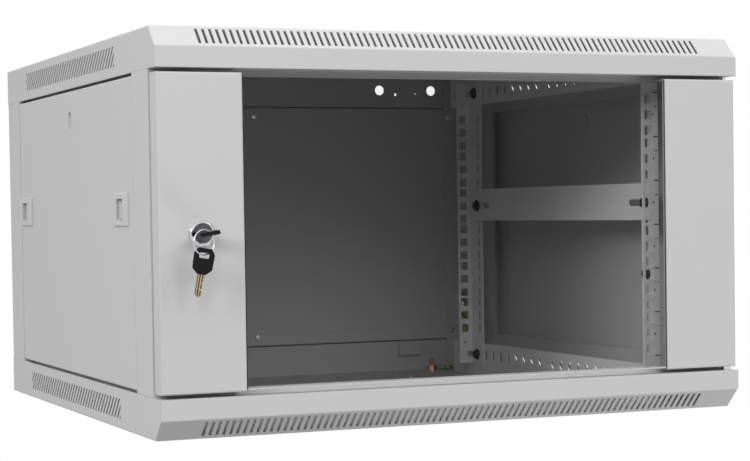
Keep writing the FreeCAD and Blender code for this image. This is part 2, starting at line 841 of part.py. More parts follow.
def keyBlade():
    # The blade hangs from the bow's shoulder, with cuts along one edge and a groove in each face.
    half = keyBladeWidth / 2
    low = -keyBladeLength + bladeTip
    step = (keyBladeLength - bladeTip - bladeShoulder) / len(bladeCuts)
    outline = [Vec(-half, 0, 0), Vec(-half, 0, low), Vec(0, 0, -keyBladeLength)]
    for i, cut in enumerate(bladeCuts):
        outline.append(Vec(half, 0, low + step * (i + 0.1)))
        outline.append(Vec(half - cut, 0, low + step * (i + 0.4)))
        outline.append(Vec(half - cut, 0, low + step * (i + 0.7)))
    outline.append(Vec(half, 0, -bladeShoulder))
    outline.append(Vec(half, 0, 0))
    blade = prism(outline, alongY * keyBladeThickness)
    blade.translate(alongY * (-keyBladeThickness / 2))
    for side in (-1, 1):
        y = side * keyBladeThickness / 2
        groove = box(-grooveOuter, -grooveInner, y - grooveDepth, y + grooveDepth,
                     -keyBladeLength - 1, -bladeShoulder)
        blade = blade.cut(groove)
    return blade


def insertedKey(shape):
    # Turned so that the bow points out of the lock, then tilted with the cylinder.
    key = shape.copy()
    key.rotate(Vec(0, 0, 0), alongX, 90)
    key.rotate(Vec(0, 0, 0), alongY, -keyTilt)
    key.translate(Vec(lockX, yFront - bezelHeight - rotorProud - bowStandoff, lockZ))
    return key


# The ring hangs on the left side of the bow, and runs down through the bow's slot.
bowSideX = (bowWidth / 2 + bowHoleLength / 2) / 2
tiltAngle = math.radians(keyTilt)
turnAngle = math.radians(ringTurn)
ringDirection = Vec(math.cos(turnAngle), math.sin(turnAngle), 0)
ringNormal = alongZ.cross(ringDirection)
ringCrossing = math.sqrt(ringRadius ** 2 - ringRise ** 2)
holeY = yFront - bezelHeight - rotorProud - bowStandoff - bowHoleHeight
ringPivot = Vec(lockX - bowSideX * math.cos(tiltAngle), holeY - ringCrossing * math.sin(turnAngle),
                lockZ - bowSideX * math.sin(tiltAngle))
ringCentre = ringPivot - alongZ * ringRise
ringLow = ringCentre - alongZ * ringRadius


def keyRing():
    # Drawn as a wire with eight flats, turned about the ring's axis.
    corners = []
    for i in range(8):
        angle = math.radians(45 * i + 22.5)
        outward = ringRadius + ringWire * math.cos(angle)
        corners.append(ringCentre + ringDirection * outward + ringNormal * (ringWire * math.sin(angle)))
    return Part.Face(Part.makePolygon(corners + [corners[0]])).revolve(ringCentre, ringNormal, 360)


def spareKey(shape):
    key = shape.copy()
    key.translate(alongZ * -bowHoleHeight)
    key.rotate(Vec(0, 0, 0), alongY, spareTilt)
    key.rotate(Vec(0, 0, 0), alongZ, spareTurn)
    drop = bowHoleWidth / 2 - ringWire - spareRest
    key.translate(ringLow - alongZ * drop)
    return key


# 19-inch rails, drawn at the right front

def rackHoleHeights():
    heights = []
    for unit in range(rackUnits):
        for offset in holeOffsets:
            heights.append(unitBase + unit * rackUnit + offset)
    return heights


def mountingRail():
    z0 = middleZ - railLength / 2
    line = [
        Vec(railOpening, 0, z0),
        Vec(railCorner, 0, z0),
        Vec(railCorner, railDepth, z0),
    ]
    rail = foldedSheet(line, railSheet, alongZ, railLength)
    cuts = []
    half = holeSide / 2
    sideY = railDepth - sideHoleInset
    for z in rackHoleHeights():
        cuts.append(box(holeColumn - half, holeColumn + half, -1, 2 * railSheet, z - half, z + half))
        cuts.append(box(railCorner - 2 * railSheet, railCorner + 1, sideY - sideHoleWidth / 2,
                        sideY + sideHoleWidth / 2, z - half, z + half))
    for side in (-1, 1):
        z = middleZ + side * endScrewOffset
        cuts.append(box(hookSlotStart, railCorner + 1, -1, hookSlotReach,
                        z - hookSlotHeight / 2, z + hookSlotHeight / 2))
        cuts.append(rod(Vec(holeColumn, -1, middleZ + side * pilotOffset), alongY, pilotRadius, 3 * railSheet))
    return rail.cut(cuts)


def placedRail(rail, plane):
    copy = rail.copy()
    if plane > 0:
        copy = copy.mirror(Vec(0, 0, 0), alongY)
    copy.translate(alongY * plane)
    return copy


# Depth rails, drawn at the top right

def depthSlotPlaces():
    places = []
    ends = (depthRailMiddle - depthRailLength / 2, depthRailMiddle + depthRailLength / 2)
    for side in (-1, 1):
        y = depthRailMiddle + side * depthSlotGap / 2
        while ends[0] + depthSlotWidth < y < ends[1] - depthSlotWidth:
            places.append(y)
            y += side * depthSlotPitch
    return places


def nearestSlot(y):
    return min(depthSlotPlaces(), key=lambda place: abs(place - y))


def depthRail():
    y0 = depthRailMiddle - depthRailLength / 2
    top = height - sheet
    line = [
        Vec(depthRailX + depthRailFoot, y0, top),
        Vec(depthRailX, y0, top),
        Vec(depthRailX, y0, top - depthRailHeight),
    ]
    rail = foldedSheet(line[::-1], railSheet, alongY, depthRailLength)
    z = middleZ + endScrewOffset
    cuts = []
    for y in depthSlotPlaces():
        cuts.append(box(depthRailX - 1, depthRailX + 2 * railSheet, y - depthSlotWidth / 2,
                        y + depthSlotWidth / 2, z - depthSlotHeight / 2, z + depthSlotHeight / 2))
    return rail.cut(cuts)


# Cross struts, drawn on the right

sideHoleFront = frontRailPlane + railDepth - sideHoleInset
sideHoleRear = rearRailPlane - railDepth + sideHoleInset
strutHoleZ = unitBase + strutUnit * rackUnit + holeOffsets[1]
spareScrewZ = unitBase + spareScrewUnit * rackUnit + holeOffsets[2]


def crossStrut():
    y0 = frontRailPlane + railSheet + strutEndGap
    y1 = rearRailPlane - railSheet - strutEndGap
    x = railCorner - railSheet
    z0 = strutHoleZ + strutRise - strutHeight / 2
    web = box(x - railSheet, x, y0, y1, z0, z0 + strutHeight)
    innerY0 = frontRailPlane + railDepth + strutEndGap
    innerY1 = rearRailPlane - railDepth - strutEndGap
    flanges = []
    for z in (z0, z0 + strutHeight - railSheet):
        flanges.append(box(x - railSheet, x - railSheet + strutFlange, innerY0, innerY1, z, z + railSheet))
    strut = web.fuse(flanges)
    for y, way in ((sideHoleFront, 1), (sideHoleRear, -1)):
        centre = Vec(x - railSheet / 2, y + way * (strutSlotLength / 2 - strutSlotShift), strutHoleZ)
        strut = strut.cut(obround(centre, alongY, alongZ, alongX * (4 * railSheet),
                                  strutSlotLength, strutSlotHeight))
    return strut.removeSplitter()


def railScrewPlaces():
    # Seats on the right, with the thickness each screw clamps.
    places = []
    endY = (nearestSlot(frontRailPlane + railDepth / 2), nearestSlot(rearRailPlane - railDepth / 2))
    for y in endY:
        for side in (-1, 1):
            places.append((Vec(railCorner - railSheet, y, middleZ + side * endScrewOffset), 2 * railSheet))
    for y in (sideHoleFront, sideHoleRear):
        places.append((Vec(railCorner - 2 * railSheet, y, strutHoleZ), 2 * railSheet))
    places.append((Vec(railCorner - railSheet, sideHoleFront, spareScrewZ), railSheet))
    return places


def railScrews():
    screws = []
    for seat, grip in railScrewPlaces():
        screws.append(flangeScrew(seat, -alongX, railScrewRadius, grip + railNutHeight))
    return screws


def railNuts():
    nuts = []
    for seat, grip in railScrewPlaces():
        half = railNutSide / 2
        nut = box(seat.x + grip, seat.x + grip + railNutHeight, seat.y - half, seat.y + half,
                  seat.z - half, seat.z + half)
        nuts.append(nut.cut(rod(seat, alongX, railScrewRadius, 4 * railNutHeight)))
    return nuts


# Earth point, lead and ring terminals

earthSeat = Vec(earthX, earthY, sheet)
postSeat = Vec(postStudX, postRearOuter - sheet, postStudZ)


def terminal(seat, axis, towards):
    eye = rod(seat, axis, terminalRadius, terminalThickness)
    neck = seat + towards * terminalNeck + axis * terminalBarrel
    barrel = rod(neck, towards, terminalBarrel, terminalBarrelLength)
    hole = rod(seat - axis * terminalThickness, axis, earthStudRadius, 3 * terminalThickness)
    return eye.fuse(barrel).cut(hole).removeSplitter()


def earthStud(seat, axis):
    return rod(seat, axis, earthStudRadius, earthStudHeight)


def earthNut(seat, axis):
    return hexNut(seat + axis * terminalThickness, axis, earthNutAcross, earthNutHeight, earthStudRadius)


leadStart = earthSeat + alongX * terminalReach + alongZ * terminalBarrel
leadEnd = postSeat - alongZ * terminalReach - alongY * terminalBarrel
leadRoute = [leadStart] + [leadStart + Vec(*step) for step in leadSteps]
leadRoute += [leadEnd - alongZ * leadLastRun, leadEnd]


def cordTube(points, radius):
    # Straight runs joined by arcs, each as large as its two runs allow.
    edges = []
    start = points[0]
    for i in range(1, len(points) - 1):
        before = points[i - 1] - points[i]
        after = points[i + 1] - points[i]
        shorter = min(before.Length, after.Length)
        before.normalize()
        after.normalize()
        half = (math.pi - before.getAngle(after)) / 2
        cut = 0.45 * shorter
        bend = cut / math.tan(half)
        print("lead bend", i, "radius", round(bend, 1), "mm")
        entry = points[i] + before * cut
        leave = points[i] + after * cut
        inward = before + after
        inward.normalize()
        mid = points[i] + inward * (bend / math.cos(half) - bend)
        edges.append(Part.LineSegment(start, entry).toShape())
        edges.append(Part.Arc(entry, mid, leave).toShape())
        start = leave
    edges.append(Part.LineSegment(start, points[-1]).toShape())
    path = Part.Wire(edges)
    heading = points[1] - points[0]
    section = Part.Wire(Part.makeCircle(radius, points[0], heading))
    tube = path.makePipeShell([section], True, False)
    print("lead length", round(path.Length, 1), "mm, volume ratio",
          round(tube.Volume / (math.pi * radius ** 2 * path.Length), 4))
    return tube


nodes = {}

cover = topCover()
nodes["top_cover"] = cover
nodes["bottom_cover"] = turnedOver(cover)
nodes["top_entry_plate"] = entryPlate()
nodes["bottom_entry_plate"] = turnedOver(entryPlate())
nodes["entry_screws"] = Part.makeCompound([entryScrews(), turnedOver(entryScrews())])
nodes["front_post_left"] = frontPost()
nodes["front_post_right"] = mirrorX(frontPost())
nodes["rear_post_left"] = rearPost()
nodes["rear_post_right"] = mirrorX(rearPost())
nodes["back_panel"] = backPanel()
nodes["back_panel_screws"] = backScrews()

nodes["side_panel_left"] = sidePanel()
nodes["side_panel_right"] = mirrorX(sidePanel())
for name, place in zip(("front", "rear"), latchPlaces()):
    nodes["latch_housing_left_" + name] = latchHousing(*place)
    nodes["latch_housing_right_" + name] = mirrorX(latchHousing(*place))
    nodes["latch_slider_left_" + name] = latchSlider(*place)
    nodes["latch_slider_right_" + name] = mirrorX(latchSlider(*place))

nodes["door_lock_strip"] = lockStrip()
nodes["door_hinge_strip"] = hingeStrip()
nodes["door_glass"] = doorGlass()
nodes["glass_retainer_left"] = glassRetainer(-1)
nodes["glass_retainer_right"] = glassRetainer(1)
nodes["lower_hinge_pin"] = lowerHingePin()
nodes["upper_hinge_bolt"] = upperHingeBolt()
nodes["hinge_bolt_guide"] = hingeGuide()
nodes["lock_body"] = lockBody()
nodes["lock_nut"] = lockNut()
nodes["lock_cylinder"] = lockCylinder()
nodes["lock_cam"] = lockCam()
nodes["cam_screw"] = camScrew()
nodes["key_bow"] = insertedKey(keyBow())
nodes["key_blade"] = insertedKey(keyBlade())
nodes["key_ring"] = keyRing()
nodes["spare_key_bow"] = spareKey(keyBow())
nodes["spare_key_blade"] = spareKey(keyBlade())

rail = mountingRail()
nodes["front_rail_right"] = placedRail(rail, frontRailPlane)
nodes["front_rail_left"] = mirrorX(placedRail(rail, frontRailPlane))
nodes["rear_rail_right"] = placedRail(rail, rearRailPlane)
nodes["rear_rail_left"] = mirrorX(placedRail(rail, rearRailPlane))
nodes["depth_rail_top_right"] = depthRail()
nodes["depth_rail_top_left"] = mirrorX(depthRail())
nodes["depth_rail_bottom_left"] = turnedOver(depthRail())
nodes["depth_rail_bottom_right"] = mirrorX(turnedOver(depthRail()))
nodes["cross_strut_right"] = crossStrut()
nodes["cross_strut_left"] = mirrorX(crossStrut())
rightScrews = railScrews()
rightNuts = railNuts()
nodes["rail_screws"] = Part.makeCompound(rightScrews + [mirrorX(screw) for screw in rightScrews])
nodes["rail_nuts"] = Part.makeCompound(rightNuts + [mirrorX(nut) for nut in rightNuts])

nodes["earth_studs"] = Part.makeCompound([earthStud(earthSeat, alongZ), earthStud(postSeat, -alongY)])
nodes["earth_nuts"] = Part.makeCompound([earthNut(earthSeat, alongZ), earthNut(postSeat, -alongY)])
nodes["ring_terminals"] = Part.makeCompound([terminal(earthSeat, alongZ, alongX),
                                             terminal(postSeat, -alongY, -alongZ)])
nodes["earth_lead"] = cordTube(leadRoute, leadRadius)

for name, shape in nodes.items():
    shape.exportStep("parts/" + name + ".step")
print(len(nodes), "nodes")
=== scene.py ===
import json
import math

import bmesh
import bpy
from mathutils import Matrix, Vector


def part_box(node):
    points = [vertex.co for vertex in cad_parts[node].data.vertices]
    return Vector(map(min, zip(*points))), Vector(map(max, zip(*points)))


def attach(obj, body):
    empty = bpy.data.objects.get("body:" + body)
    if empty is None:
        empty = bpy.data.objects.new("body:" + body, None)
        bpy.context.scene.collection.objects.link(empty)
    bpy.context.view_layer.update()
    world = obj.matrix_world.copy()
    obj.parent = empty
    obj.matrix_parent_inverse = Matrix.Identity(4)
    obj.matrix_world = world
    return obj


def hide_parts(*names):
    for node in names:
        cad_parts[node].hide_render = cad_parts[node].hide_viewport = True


mm = 0.001
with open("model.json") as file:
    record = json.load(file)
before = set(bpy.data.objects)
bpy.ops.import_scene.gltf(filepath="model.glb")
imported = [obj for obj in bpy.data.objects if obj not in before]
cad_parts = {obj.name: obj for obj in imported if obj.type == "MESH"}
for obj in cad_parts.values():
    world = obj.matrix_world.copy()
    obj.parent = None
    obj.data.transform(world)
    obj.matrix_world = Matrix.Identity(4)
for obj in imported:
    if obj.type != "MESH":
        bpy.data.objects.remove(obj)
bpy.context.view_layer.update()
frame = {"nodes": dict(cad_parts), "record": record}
cad = frame["nodes"]
print("frame loaded,", len(cad), "nodes")


# Node helpers

def putNode(tree, kind, inputs=None, **options):
    node = tree.nodes.new(kind)
    for key, value in options.items():
        setattr(node, key, value)
    for key, value in (inputs or {}).items():
        if isinstance(value, bpy.types.NodeSocket):
            tree.links.new(value, node.inputs[key])
        else:
            node.inputs[key].default_value = value
    return node


def newGroup(name, inputs, outputs):
    group = bpy.data.node_groups.new(name, "ShaderNodeTree")
    for label, kind, value in inputs:
        socket = group.interface.new_socket(label, in_out="INPUT", socket_type=kind)
        socket.default_value = value
    for label, kind in outputs:
        group.interface.new_socket(label, in_out="OUTPUT", socket_type=kind)
    return group, group.nodes.new("NodeGroupInput"), group.nodes.new("NodeGroupOutput")


def newMaterial(name):
    material = bpy.data.materials.new(name)
    material.use_nodes = True
    tree = material.node_tree
    tree.nodes.clear()
    output = tree.nodes.new("ShaderNodeOutputMaterial")
    return material, tree, output


def mathNode(tree, operation, *values):
    node = tree.nodes.new("ShaderNodeMath")
    node.operation = operation
    for i, value in enumerate(values):
        if isinstance(value, bpy.types.NodeSocket):
            tree.links.new(value, node.inputs[i])
        else:
            node.inputs[i].default_value = value
    return node.outputs[0]


def mixColor(tree, factor, first, second, blend="MIX"):
    node = tree.nodes.new("ShaderNodeMix")
    node.data_type = "RGBA"
    node.blend_type = blend
    for socket, value in ((node.inputs[0], factor), (node.inputs[6], first), (node.inputs[7], second)):
        if isinstance(value, bpy.types.NodeSocket):
            tree.links.new(value, socket)
        else:
            socket.default_value = value
    return node.outputs[2]


grainShape = {"broadDetail": 3.0, "broadRoughness": 0.55, "fineDetail": 2.0, "fineRoughness": 0.6,
              "fineShare": 0.6, "bumpDistance": 0.3 * mm, "edgeSamples": 4}


def makeSurfaceGroup():
    # Shared by every finish: a slight drift of tone over the piece, fine grain, and softened edges.
    group, source, sink = newGroup(
        "surfaceGrain",
        [("Color", "NodeSocketColor", (0.5, 0.5, 0.5, 1)), ("Drift", "NodeSocketFloat", 0.03),
         ("Drift Scale", "NodeSocketFloat", 9.0), ("Grain Scale", "NodeSocketFloat", 1100.0),
         ("Roughness", "NodeSocketFloat", 0.4), ("Roughness Spread", "NodeSocketFloat", 0.05),
         ("Bump", "NodeSocketFloat", 0.1), ("Edge", "NodeSocketFloat", 0.0004)],
        [("Color", "NodeSocketColor"), ("Roughness", "NodeSocketFloat"), ("Normal", "NodeSocketVector")])
    place = putNode(group, "ShaderNodeTexCoord").outputs["Object"]
    broad = putNode(group, "ShaderNodeTexNoise", {
        "Vector": place, "Scale": source.outputs["Drift Scale"], "Detail": grainShape["broadDetail"],
        "Roughness": grainShape["broadRoughness"]}).outputs["Fac"]
    fine = putNode(group, "ShaderNodeTexNoise", {
        "Vector": place, "Scale": source.outputs["Grain Scale"], "Detail": grainShape["fineDetail"],
        "Roughness": grainShape["fineRoughness"]}).outputs["Fac"]
    centred = mathNode(group, "SUBTRACT", broad, 0.5)
    fineCentred = mathNode(group, "SUBTRACT", fine, 0.5)
    shift = mathNode(group, "MULTIPLY", centred, source.outputs["Drift"])
    fineDrift = mathNode(group, "MULTIPLY", source.outputs["Drift"], grainShape["fineShare"])
    fineShift = mathNode(group, "MULTIPLY", fineCentred, fineDrift)
    tone = mathNode(group, "ADD", mathNode(group, "ADD", shift, fineShift), 1.0)
    toneColor = putNode(group, "ShaderNodeCombineColor", {0: tone, 1: tone, 2: tone}).outputs[0]
    color = mixColor(group, 1.0, source.outputs["Color"], toneColor, "MULTIPLY")
    spread = mathNode(group, "MULTIPLY", mathNode(group, "ADD", centred, fineCentred),
                      source.outputs["Roughness Spread"])
    roughness = mathNode(group, "ADD", source.outputs["Roughness"], spread)
    edge = putNode(group, "ShaderNodeBevel", {"Radius": source.outputs["Edge"]},
                   samples=grainShape["edgeSamples"]).outputs[0]
    normal = putNode(group, "ShaderNodeBump", {
        "Strength": source.outputs["Bump"], "Distance": grainShape["bumpDistance"], "Height": fine,
        "Normal": edge}).outputs[0]
    group.links.new(color, sink.inputs["Color"])
    group.links.new(roughness, sink.inputs["Roughness"])
    group.links.new(normal, sink.inputs["Normal"])
    return group


surfaceGrain = makeSurfaceGroup()


def useGrain(tree, color, values):
    node = tree.nodes.new("ShaderNodeGroup")
    node.node_tree = surfaceGrain
    for key, value in values.items():
        node.inputs[key].default_value = value
    if isinstance(color, bpy.types.NodeSocket):
        tree.links.new(color, node.inputs["Color"])
    else:
        node.inputs["Color"].default_value = (*color, 1)
    return node


def shadeWith(tree, output, color, grain, metallic=0.0, specular=0.5):
    node = useGrain(tree, color, grain)
    shader = putNode(tree, "ShaderNodeBsdfPrincipled", {
        "Base Color": node.outputs["Color"], "Roughness": node.outputs["Roughness"],
        "Normal": node.outputs["Normal"], "Metallic": metallic, "Specular IOR Level": specular})
    tree.links.new(shader.outputs[0], output.inputs["Surface"])


def makeFinish(name, color, grain, metallic=0.0, specular=0.5):
    material, tree, output = newMaterial(name)
    shadeWith(tree, output, color, grain, metallic, specular)
    return material


# Finishes

paint = {"color": (0.565, 0.565, 0.565), "specular": 0.35,
         "grain": {"Drift": 0.03, "Drift Scale": 7.0, "Grain Scale": 900.0, "Roughness": 0.46,
                   "Roughness Spread": 0.08, "Bump": 0.1, "Edge": 0.0012}}
railPaint = {"color": (0.78, 0.78, 0.78), "specular": 0.4,
             "grain": {"Drift": 0.04, "Drift Scale": 12.0, "Grain Scale": 1000.0, "Roughness": 0.42,
                       "Roughness Spread": 0.08, "Bump": 0.08, "Edge": 0.0004}}
latchPlastic = {"color": (0.55, 0.55, 0.55), "specular": 0.4,
                "grain": {"Drift": 0.04, "Drift Scale": 40.0, "Grain Scale": 1600.0, "Roughness": 0.42,
                          "Roughness Spread": 0.1, "Bump": 0.06, "Edge": 0.0004}}
keyPlastic = {"color": (0.006, 0.006, 0.007), "specular": 0.12,
              "grain": {"Drift": 0.5, "Drift Scale": 220.0, "Grain Scale": 3200.0, "Roughness": 0.38,
                        "Roughness Spread": 0.16, "Bump": 0.25, "Edge": 0.0005}}
blackZinc = {"color": (0.012, 0.012, 0.013), "specular": 0.35,
             "grain": {"Drift": 0.4, "Drift Scale": 150.0, "Grain Scale": 2400.0, "Roughness": 0.32,
                       "Roughness Spread": 0.15, "Bump": 0.1, "Edge": 0.0003}}
zinc = {"color": (0.66, 0.67, 0.68), "metallic": 1.0,
        "grain": {"Drift": 0.16, "Drift Scale": 130.0, "Grain Scale": 1700.0, "Roughness": 0.3,
                  "Roughness Spread": 0.16, "Bump": 0.1, "Edge": 0.0003}}
copper = {"color": (0.72, 0.4, 0.24), "metallic": 1.0,
          "grain": {"Drift": 0.3, "Drift Scale": 160.0, "Grain Scale": 1500.0, "Roughness": 0.32,
                    "Roughness Spread": 0.16, "Bump": 0.1, "Edge": 0.0003}}
# The key metal's deep colour is the painted shade of the blade's grooves.
keyMetal = {"color": (0.42, 0.34, 0.2), "deep": (0.035, 0.027, 0.015), "metallic": 1.0,
            "ridgePitch": 2.15 * mm, "start": 0.6, "fadeFrom": -0.45, "fadeTo": 0.35,
            "tilt": 10.0, "turn": -18.0,
            "grain": {"Drift": 1.1, "Drift Scale": 420.0, "Grain Scale": 2600.0, "Roughness": 0.34,
                      "Roughness Spread": 0.22, "Bump": 0.16, "Edge": 0.0002}}
chrome = {"color": (0.56, 0.57, 0.59), "deep": (0.09, 0.09, 0.1), "metallic": 1.0,
          "disc": 8.9 * mm, "blend": 0.5 * mm, "front": 0.5 * mm,
          "grain": {"Drift": 0.3, "Drift Scale": 200.0, "Grain Scale": 2600.0, "Roughness": 0.12,
                    "Roughness Spread": 0.08, "Bump": 0.02, "Edge": 0.0004}}
lockFace = {"color": (0.1, 0.1, 0.11), "metallic": 1.0,
            "grain": {"Drift": 0.3, "Drift Scale": 300.0, "Grain Scale": 2600.0, "Roughness": 0.36,
                      "Roughness Spread": 0.2, "Bump": 0.14, "Edge": 0.0003}}
ink = {"color": (0.02, 0.02, 0.02), "specular": 0.3,
       "grain": {"Drift": 0.5, "Drift Scale": 400.0, "Grain Scale": 3000.0, "Roughness": 0.6,
                 "Roughness Spread": 0.1, "Bump": 0.05, "Edge": 0.0001}}
# The dark strips that paint the shadow lines along the back panel's edges take this finish (painted shade).
rubber = {"color": (0.06, 0.06, 0.06), "specular": 0.3,
          "grain": {"Drift": 0.3, "Drift Scale": 120.0, "Grain Scale": 2000.0, "Roughness": 0.6,
                    "Roughness Spread": 0.1, "Bump": 0.1, "Edge": 0.0002}}
# Pale finish of the strip along the glass's foot: a painted highlight for the glass's lit bottom edge.
glassFootHighlight = {"color": (0.55, 0.565, 0.565), "specular": 0.4,
              "grain": {"Drift": 0.06, "Drift Scale": 60.0, "Grain Scale": 2200.0, "Roughness": 0.5,
                        "Roughness Spread": 0.1, "Bump": 0.08, "Edge": 0.0002}}


def makeKeyMetal():
    # Long ridges run down the blade; dark stripes across it are painted shade for its grooves, so the tone
    # changes across it.
    material, tree, output = newMaterial("keyMetal")
    place = putNode(tree, "ShaderNodeTexCoord").outputs["Object"]
    turn = Matrix.Rotation(math.radians(keyMetal["turn"]), 3, "Z")
    tilt = Matrix.Rotation(math.radians(keyMetal["tilt"]), 3, "Y")
    lay = (turn @ tilt).inverted().to_euler("XYZ")
    turned = putNode(tree, "ShaderNodeMapping", {"Vector": place, "Rotation": lay})
    across = putNode(tree, "ShaderNodeSeparateXYZ", {0: turned.outputs[0]}).outputs[0]
    phase = mathNode(tree, "MULTIPLY_ADD", across, 2 * math.pi / keyMetal["ridgePitch"], keyMetal["start"])
    wave = mathNode(tree, "SINE", phase)
    grooveShade = putNode(tree, "ShaderNodeMapRange", {
        0: wave, 1: keyMetal["fadeFrom"], 2: keyMetal["fadeTo"]}).outputs[0]
    color = mixColor(tree, grooveShade, (*keyMetal["deep"], 1), (*keyMetal["color"], 1))
    shadeWith(tree, output, color, keyMetal["grain"], keyMetal["metallic"])
    return material


def makeChrome():
    # The chrome is dark within a disc round the cylinder's middle; the ring and the rim keep the bright
    # chrome.
    material, tree, output = newMaterial("chrome")
    low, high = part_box("lock_cylinder")
    place = putNode(tree, "ShaderNodeTexCoord").outputs["Object"]
    parts = putNode(tree, "ShaderNodeSeparateXYZ", {0: place}).outputs
    across = mathNode(tree, "SUBTRACT", parts[0], (low.x + high.x) / 2)
    rise = mathNode(tree, "SUBTRACT", parts[2], (low.z + high.z) / 2)
    radius = mathNode(tree, "SQRT", mathNode(tree, "ADD", mathNode(tree, "MULTIPLY", across, across),
                                             mathNode(tree, "MULTIPLY", rise, rise)))
    rim = putNode(tree, "ShaderNodeMapRange", {
        0: radius, 1: chrome["disc"], 2: chrome["disc"] + chrome["blend"]}).outputs[0]
    front = mathNode(tree, "LESS_THAN", parts[1], low.y - chrome["front"])
    bright = mathNode(tree, "MAXIMUM", rim, front)
    color = mixColor(tree, bright, (*chrome["deep"], 1), (*chrome["color"], 1))
    shadeWith(tree, output, color, chrome["grain"], chrome["metallic"])
    return material


finishes = {
    "paint": makeFinish("paint", **paint),
    "rail_paint": makeFinish("railPaint", **railPaint),
    "latch_plastic": makeFinish("latchPlastic", **latchPlastic),
    "key_plastic": makeFinish("keyPlastic", **keyPlastic),
    "black_screws": makeFinish("blackZinc", **blackZinc),
    "zinc": makeFinish("zinc", **zinc),
    "copper": makeFinish("copper", **copper),
    "key_metal": makeKeyMetal(),
    "chrome": makeChrome(),
    "lock_face": makeFinish("lockFace", **lockFace),
    "ink": makeFinish("ink", **ink),
    "rubber": makeFinish("rubber", **rubber),
    "ground_edge": makeFinish("glassFootHighlight", **glassFootHighlight),
}

# The door's glass is nearly clear: the inside looks dark because little light reaches it.
glass = {"tint": 0.95, "mirror": 0.1, "ior": 1.5,
         "grain": {"Drift": 0.02, "Drift Scale": 5.0, "Roughness": 0.02, "Roughness Spread": 0.01,
                   "Bump": 0.0, "Edge": 0.0001}}


def makeGlass():
    material, tree, output = newMaterial("smokedGlass")
    grain = useGrain(tree, (glass["tint"],) * 3, glass["grain"])
    clear = putNode(tree, "ShaderNodeBsdfTransparent", {"Color": grain.outputs["Color"]})
    gloss = putNode(tree, "ShaderNodeBsdfGlossy", {"Roughness": grain.outputs["Roughness"]})
    fresnel = putNode(tree, "ShaderNodeFresnel", {"IOR": glass["ior"]}).outputs[0]
    amount = mathNode(tree, "MULTIPLY", fresnel, glass["mirror"])
    mix = putNode(tree, "ShaderNodeMixShader", {0: amount, 1: clear.outputs[0], 2: gloss.outputs[0]})
    tree.links.new(mix.outputs[0], output.inputs["Surface"])
    return material


finishes["smoked_glass"] = makeGlass()

for part in frame["record"]["subparts"]:
    node = cad[part["node"]]
    if part["material_slot"] in finishes:
        node.data.materials.clear()
        node.data.materials.append(finishes[part["material_slot"]])
print("finishes done")


# Mesh helpers

tiny = {"radius": 1e-9, "weld": 1e-6, "decimals": 4}


def newPiece(name, mesh, finish, body):
    piece = bpy.data.objects.new(name, mesh)
    bpy.context.scene.collection.objects.link(piece)
    mesh.materials.clear()
    mesh.materials.append(finishes[finish])
    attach(piece, body)
    return piece


def turnTo(axis, spin=0.0):
    # Turns a piece drawn along Z so that it points along the axis.
    aim = Vector((0, 0, 1)).rotation_difference(Vector(axis)).to_matrix().to_4x4()
    return aim @ Matrix.Rotation(spin, 4, "Z")


def ringPoints(radius, segments):
    # Points round a circle, starting on the first axis.
    angles = [2 * math.pi * i / segments for i in range(segments)]
    return [(radius * math.cos(angle), radius * math.sin(angle)) for angle in angles]


def lathe(profile, segments):
    # Turns a list of (radius, height) about Z. A radius of 0 closes an end.
    shape = bmesh.new()
    rings = []
    for radius, height in profile:
        if radius < tiny["radius"]:
            rings.append([shape.verts.new((0, 0, height))])
        else:
            rings.append([shape.verts.new((x, y, height)) for x, y in ringPoints(radius, segments)])
    for low, high in zip(rings, rings[1:]):
        for i in range(segments):
            j = (i + 1) % segments
            if len(low) == 1:
                shape.faces.new((low[0], high[j], high[i]))
            elif len(high) == 1:
                shape.faces.new((low[i], low[j], high[0]))
            else:
                shape.faces.new((low[i], low[j], high[j], high[i]))
    for face in shape.faces:
        face.smooth = True
    bmesh.ops.recalc_face_normals(shape, faces=shape.faces)
    return shape


def meshFrom(shape, name):
    mesh = bpy.data.meshes.new(name)
    shape.to_mesh(mesh)
    shape.free()
    return mesh


# How far a cross recess runs at its foot and at its mouth, as shares of its length and width
recess = {"foot": (0.55, 0.7), "mouth": (1.15, 1.1), "headSegments": 32}


def crossBlade(cross, turn):
    # One wing of a cross recess, narrower at its foot.
    shape = bmesh.new()
    bmesh.ops.create_cube(shape, size=1)
    for vert in shape.verts:
        along, across = recess["foot"] if vert.co.z < 0 else recess["mouth"]
        vert.co.x *= cross["length"] * along
        vert.co.y *= cross["width"] * across
        vert.co.z *= 2 * cross["depth"]
    bmesh.ops.rotate(shape, verts=shape.verts, matrix=Matrix.Rotation(turn, 3, "Z"))
    return meshFrom(shape, "cutter")


def recessedHead(profile, top, cross):
    # A turned screw head with a cross recess cut into its top.
    blank = lathe(profile, recess["headSegments"])
    head = bpy.data.objects.new("headBlank", meshFrom(blank, "headBlank"))
    bpy.context.scene.collection.objects.link(head)
    cutters = []
    for turn in (0.0, math.pi / 2):
        cutter = bpy.data.objects.new("cutter", crossBlade(cross, turn))
        cutter.location = (0, 0, top)
        bpy.context.scene.collection.objects.link(cutter)
        modifier = head.modifiers.new("recess", "BOOLEAN")
        modifier.operation = "DIFFERENCE"
        modifier.solver = "EXACT"
        modifier.object = cutter
        cutters.append(cutter)
    bpy.context.view_layer.update()
    mesh = bpy.data.meshes.new_from_object(head.evaluated_get(bpy.context.evaluated_depsgraph_get()))
    for extra in [head] + cutters:
        bpy.data.objects.remove(extra)
    return mesh


def scattered(mesh, matrices, name):
    # One mesh that holds a copy of the given mesh at each place.
    shape = bmesh.new()
    for matrix in matrices:
        copy = mesh.copy()
        copy.transform(matrix)
        shape.from_mesh(copy)
        bpy.data.meshes.remove(copy)
    return meshFrom(shape, name)


